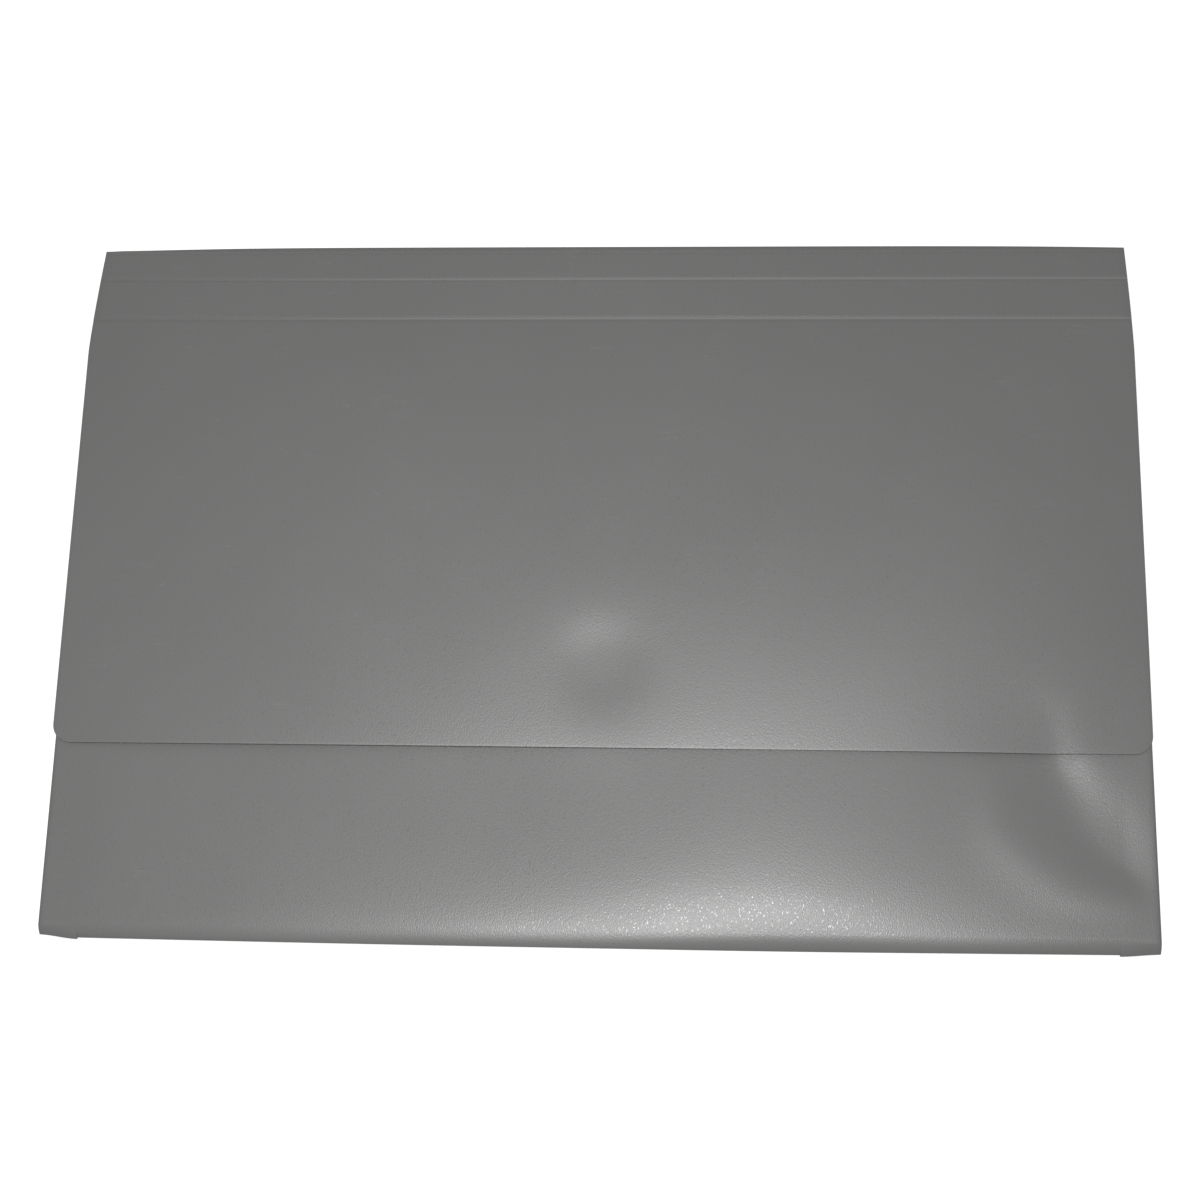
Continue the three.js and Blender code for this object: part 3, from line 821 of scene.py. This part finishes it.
def flap_painted_highlight(x, y):
    """A painted highlight along the flap's lower edge: two bells, one up from the cut edge, one across the
    wallet.
    """
    return EDGE_HIGHLIGHT * bump((y - FLAP_LOW_Y) / EDGE_HIGHLIGHT_REACH) * bump((x - EDGE_HIGHLIGHT_X) / EDGE_HIGHLIGHT_WIDTH)


flap = add_sheet("closing_flap", flap_surface(), PLASTIC)
# The painted highlight is stored on the flap's vertices and mixed in as a paler colour.
mark_paleness_and_highlight(flap, flap_painted_highlight)
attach(flap, "flap")
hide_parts("flap")

# %% [markdown]
# ## The back, the base and the spine
#
# These are flat, but for the top fold, where the back panel rolls over to meet the spine. Each is a grid of
# points again, so it narrows towards the top fold like the flap.

# %% Model the flat panels
TOP_PULL, PULL_POWER = (2.4, 1.2), 6  # how far the top fold is pinched in at its left and right end
TOP_ROWS = 21
STRIP_COLUMNS = 121
BACK_STEP, BASE_STEP, SPINE_STEP = 3.0, 1.5, 0.8  # between the rows of each


def strip_surface(from_y, to_y, half, z, step):
    """A flat strip across the wallet at the height z."""
    share, y = np.meshgrid(np.linspace(-1, 1, STRIP_COLUMNS), spaced(from_y, to_y, step))
    return np.stack([sheet_x(share, y, half), y, np.full_like(y, z)], -1)


def back_surface():
    """The back panel, then half an oval round the top fold: a sine across and a cosine up. The oval is
    shorter towards its ends, by the sixth power of the distance across."""
    flat = spaced(GUSSET_LOW_Y, TOP_INNER_Y, BACK_STEP)
    turn = np.concatenate([np.zeros_like(flat), np.linspace(0, math.pi, TOP_ROWS)[1:]])
    y = np.concatenate([flat, np.full(TOP_ROWS - 1, TOP_INNER_Y)])
    share, Y = np.meshgrid(np.linspace(-1, 1, STRIP_COLUMNS), y)
    turn = turn[:, None]
    pull = np.where(share < 0, *TOP_PULL) * np.power(share, PULL_POWER)
    Y = Y + (TOP_OUTER_Y - TOP_INNER_Y - SHEET / 2 - pull) * np.sin(turn)
    Z = SHEET / 2 + (SPINE_MIDDLE_Z - SHEET / 2) / 2 * (1 - np.cos(turn)) + 0 * Y
    half = POCKET_HALF + (FLAP_HALF - POCKET_HALF) * turn / math.pi
    return np.stack([sheet_x(share, Y, half), Y, Z], -1)


def flat_piece(name, points, body, *nodes):
    """A sheet that rides a body and takes the place of one or more nodes."""
    obj = add_sheet(name, points, PLASTIC)
    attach(obj, body)
    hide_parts(*nodes)


flat_piece("back_sheet", back_surface(), "back", "back_panel", "top_fold")
low_y, high_y = FRONT_CREASE_Y + HALF_CREASE, BASE_CREASE_Y - HALF_CREASE
flat_piece("base_sheet", strip_surface(low_y, high_y, BASE_HALF, SHEET / 2, BASE_STEP), "base", "base_strip")
for name, low_y, high_y in (
        ("spine_rear", SCORE_Y + HALF_SCORE, TOP_CREASE_Y - HALF_CREASE),
        ("spine_front", FLAP_CREASE_Y + HALF_CREASE, SCORE_Y - HALF_SCORE)):
    strip = strip_surface(low_y, high_y, FLAP_HALF, SPINE_MIDDLE_Z, SPINE_STEP)
    flat_piece(f"{name}_sheet", strip, name, f"{name}_strip")

# %% [markdown]
# ## The creases
#
# A crease is where a steel rule has pressed the sheet. Here it is a strip of the full thickness whose
# middle sinks by a few hundredths of a millimetre, and that shallow groove is what catches the light. Each
# crease crosses a joint, but here it is a flat strip that stays where it is made and does not turn.

# %% Model the creases
CREASE_DEPTH = 0.04
CREASE_ROWS = 13
GROOVE_SHARE = 0.55  # of the strip's half width
CREASE_BREAK = 0.02  # how far its own edges are broken
SCORE_PALENESS, SCORE_LINE = 0.7, 0.3  # how pale the groove's floor is, and how wide
SCORE_PALE_FROM, SCORE_PALE_LENGTH = -170.0, 120.0  # the paleness grows from here, over this length


def crease_strip(name, y, half_width, half, z, replaced, depth=CREASE_DEPTH):
    """A groove: a strip across the wallet whose middle sinks by a bell. Along its floor, the plastic is
    paler, but less so towards its left end. Without a depth, it is plain sheet."""
    rows = np.linspace(-half_width, half_width, CREASE_ROWS)
    share, offset = np.meshgrid(np.linspace(-1, 1, STRIP_COLUMNS), rows)
    Y = y + offset
    sink = depth * bump(offset / (GROOVE_SHARE * half_width))
    points = np.stack([sheet_x(share, Y, half), Y, z - sink], -1)
    obj = add_sheet(name, points, CREASED if depth else PLASTIC, rim=CREASE_BREAK)

    def paleness(px, py):
        """A bell about the groove, eased in from the left."""
        grown = ease((px - SCORE_PALE_FROM) / SCORE_PALE_LENGTH)
        return SCORE_PALENESS * bump((py - y) / SCORE_LINE) * grown

    if depth:
        mark_paleness_and_highlight(obj, paleness)
    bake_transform(obj)
    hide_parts(replaced)


crease_strip("top_crease_strip", TOP_CREASE_Y, HALF_CREASE, FLAP_HALF, SPINE_MIDDLE_Z,
             "top_crease", depth=0)
crease_strip("upper_score_strip", SCORE_Y, HALF_SCORE, FLAP_HALF, SPINE_MIDDLE_Z,
             "upper_score")
crease_strip("lower_score_strip", FLAP_CREASE_Y, HALF_CREASE, FLAP_HALF, SPINE_MIDDLE_Z,
             "lower_score")
crease_strip("base_rear_strip", BASE_CREASE_Y, HALF_CREASE, BASE_HALF, SHEET / 2,
             "base_rear_crease")
crease_strip("base_front_strip", FRONT_CREASE_Y, HALF_CREASE, ROLL_HALF, SHEET / 2,
             "base_front_crease")

# %% [markdown]
# ## The side gussets
#
# Each side is closed by a strip folded like a bellows: a tab welded to the back panel, a leaf that runs
# inwards and a leaf that runs out again. The leaves are flat sheets that ride their own bodies, and the folds
# are half circles between them, which stay where they are made.

# %% Model the gussets
LEAF_Z = joint_line("right_gusset_rise")[2]
TAB_Z = 1.5 * SHEET  # of the middle of the tab, which lies on the back
GUSSET_STEP = 4.0  # between rows
LEAF_COLUMNS, FOLD_COLUMNS = 9, 15
FOLD_THICKNESS, FOLD_BREAK = 0.96 * SHEET, 0.04  # a fold is a little thinner than the sheet


def add_gusset(name, side):
    """The tab, the two leaves and the two folds of one gusset. side is -1 on the left, 1 on the right."""
    rise = LEAF_Z - FOLD_RADIUS
    y = spaced(GUSSET_LOW_Y, GUSSET_TOP_Y, GUSSET_STEP)

    def leaf(label, from_x, to_x, z, body, replaced):
        """A flat sheet between two places across the wallet."""
        share, Y = np.meshgrid(np.linspace(0, 1, LEAF_COLUMNS), y)
        x = side * (from_x + (to_x - from_x) * share)
        flat_piece(f"{name}_{label}", np.stack([x, Y, np.full_like(Y, z)], -1), body, replaced)

    def fold(label, centre_x, centre_z, way, replaced):
        """Half a circle about a line along Y, between the two leaves that it joins; it does not move with
        them.
        """
        turn, Y = np.meshgrid(np.linspace(0, math.pi, FOLD_COLUMNS), y)
        x = side * (centre_x + way * FOLD_RADIUS * np.sin(turn))
        z = centre_z - FOLD_RADIUS * np.cos(turn)
        obj = add_sheet(f"{name}_{label}", np.stack([x, Y, z], -1), CREASED, FOLD_THICKNESS, rim=FOLD_BREAK)
        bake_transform(obj)
        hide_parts(replaced)

    tab_in = abs(node_box("right_gusset_tab")[0][0])
    leaf_out = node_box("right_gusset_front_leaf")[1][0]
    leaf("tab_sheet", tab_in, SIDE_X, TAB_Z, "back", f"{name}_gusset_tab")
    leaf("rear_leaf_sheet", LEAF_FOLD_X, SIDE_X, rise, f"{name}_rear_leaf", f"{name}_gusset_rear_leaf")
    leaf("front_leaf_sheet", LEAF_FOLD_X, leaf_out, LEAF_Z + FOLD_RADIUS, f"{name}_front_leaf",
         f"{name}_gusset_front_leaf")
    fold("outer_fold_strip", SIDE_X, rise - FOLD_RADIUS, 1,
         f"{name}_gusset_outer_fold")
    fold("inner_fold_strip", LEAF_FOLD_X, LEAF_Z, -1,
         f"{name}_gusset_inner_fold")


add_gusset("left", -1)
add_gusset("right", 1)

# %% [markdown]
# ## The fastener
#
# Two coins of tape meet under the flap and show when it opens. A coin is a surface of revolution: its
# profile, a flat top with a rounded rim, is turned once round.

# %% Model the coins
COIN_RIM = 0.12  # how far its rim is rounded, but at most a third of its thickness
COIN_RINGS = 5  # of points on each face, the middle one and the rim's among them
COIN_COLUMNS = 97
RIPPLES, RIPPLES_FROM = 31, 0.9  # so many round the rim, outside this share of the radius


def add_coin(name, replaced, material, body, ripple, sheet_height):
    """A profile turned about the coin's axis. The rim ripples by a sine, as a punched tape's does, and the
    whole coin bends with the sheet that it is stuck to."""
    low, high = node_box(replaced)
    middle = (low + high) / 2
    thick = high[2] - low[2]
    rim = min(COIN_RIM, thick / 3)
    face = np.linspace(0, 1, COIN_RINGS) * COIN_RADIUS
    face[-1] -= rim
    radii = np.concatenate([face, [COIN_RADIUS], face[::-1]])
    heights = np.repeat([0, thick / 2, thick], [COIN_RINGS, 1, COIN_RINGS]) + low[2] - SEAT_DROP
    turn, r = np.meshgrid(np.linspace(0, 2 * math.pi, COIN_COLUMNS), radii)
    r = r * (1 + ripple * np.sin(RIPPLES * turn) * (r > RIPPLES_FROM * COIN_RADIUS))
    x = middle[0] + r * np.cos(turn)
    y = middle[1] + r * np.sin(turn)
    z = heights[:, None] + sheet_height(x, y) - float(sheet_height(middle[0], middle[1]))
    x[:, -1], y[:, -1] = x[:, 0], y[:, 0]
    obj = add_piece(name, mesh_from_grid(name, np.stack([x, y, z], -1)), material)
    finished_mesh(obj)
    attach(obj, body)
    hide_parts(replaced)


add_coin("loop_film", "loop_adhesive", ADHESIVE, "front", 0.0, front_middle)
add_coin("loop_tape_coin", "loop_coin", LOOPS, "front", 0.004, front_middle)
add_coin("hook_film", "hook_adhesive", ADHESIVE, "flap", 0.0, flap_middle)
add_coin("hook_tape_coin", "hook_coin", HOOKS, "flap", 0.003, flap_middle)

# %% [markdown]
# ## Floor and light
#
# The photograph has a pure white ground. A white floor under plain light renders a little below white, so
# to the camera alone the floor adds a glow of its own, and the soft shadow at the wallet's edge stays. The
# one soft lamp stands by the camera: the sheet shines where it faces us, which is where the pocket and the
# flap turn down towards their lower edges.

# %% Build the floor, the lamp and the world
FLOOR_HALF, FLOOR_GAP = 6.0, 0.0002  # in metres; the gap is below the wallet
FLOOR_GREY, FLOOR_GLOW = 0.50, 0.75
LAMP_PLACE, LAMP_AIM = (0.035, -0.155, 0.70), (-0.05, -0.06, 0.0)  # where it is and where it points
LAMP_SIZE = 0.14
LAMP_WHITE = 0.76  # what a white card on the table below the lamp would show of its light alone
SPREAD = 120  # degrees; a narrower lamp of the same power is brighter, here by SPREAD_GAIN
SPREAD_GAIN = 2.37
WORLD_WHITE = 0.33


def add_floor():
    """A plain floor under the wallet. The Mix Shader takes the plain surface for every ray but those from
    the camera, which see the glow as well."""
    material = new_material("white_floor")[0]
    tree = material.node_tree
    tree.nodes.clear()
    plain = node(tree, "ShaderNodeBsdfDiffuse", {"Color": (FLOOR_GREY, FLOOR_GREY, FLOOR_GREY, 1)}).outputs[0]
    glow = node(tree, "ShaderNodeEmission", {"Color": (1, 1, 1, 1), "Strength": FLOOR_GLOW}).outputs[0]
    both = node(tree, "ShaderNodeAddShader", {0: plain, 1: glow}).outputs[0]
    seen = node(tree, "ShaderNodeLightPath").outputs["Is Camera Ray"]
    mix = node(tree, "ShaderNodeMixShader", {0: seen, 1: plain, 2: both}).outputs[0]
    node(tree, "ShaderNodeOutputMaterial", {"Surface": mix})
    mesh = bpy.data.meshes.new("floor")
    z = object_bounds()[0][2] - FLOOR_GAP
    corners = [(x * FLOOR_HALF, y * FLOOR_HALF, z) for x, y in ((-1, -1), (1, -1), (1, 1), (-1, 1))]
    mesh.from_pydata(corners, [], [(0, 1, 2, 3)])
    floor = add_piece("floor", mesh, material)


def add_lamp():
    """A disc of light beside the camera. Its power follows from the brightness wanted on the table: a disc
    of power P and radius r has the radiance P / (pi r)^2, and a card at a distance d shows (r / d)^2 of
    that."""
    data = bpy.data.lights.new("soft_lamp", "AREA")
    data.shape = "DISK"
    data.size = LAMP_SIZE
    data.energy = LAMP_WHITE * (math.pi * LAMP_PLACE[2]) ** 2 / SPREAD_GAIN
    data.spread = math.radians(SPREAD)
    lamp = bpy.data.objects.new("soft_lamp", data)
    lamp.location = LAMP_PLACE
    lamp.rotation_euler = (Vector(LAMP_AIM) - Vector(LAMP_PLACE)).to_track_quat("-Z", "Y").to_euler()
    bpy.context.scene.collection.objects.link(lamp)


def make_world():
    """White light from all round, which fills the lamp's shadows."""
    world = bpy.data.worlds.new("studio")
    world.use_nodes = True
    tree = world.node_tree
    feed(tree, tree.nodes["Background"], {"Color": (1, 1, 1, 1), "Strength": WORLD_WHITE})
    bpy.context.scene.world = world


add_floor()
add_lamp()
make_world()
bpy.context.scene.view_settings.view_transform = "Standard"
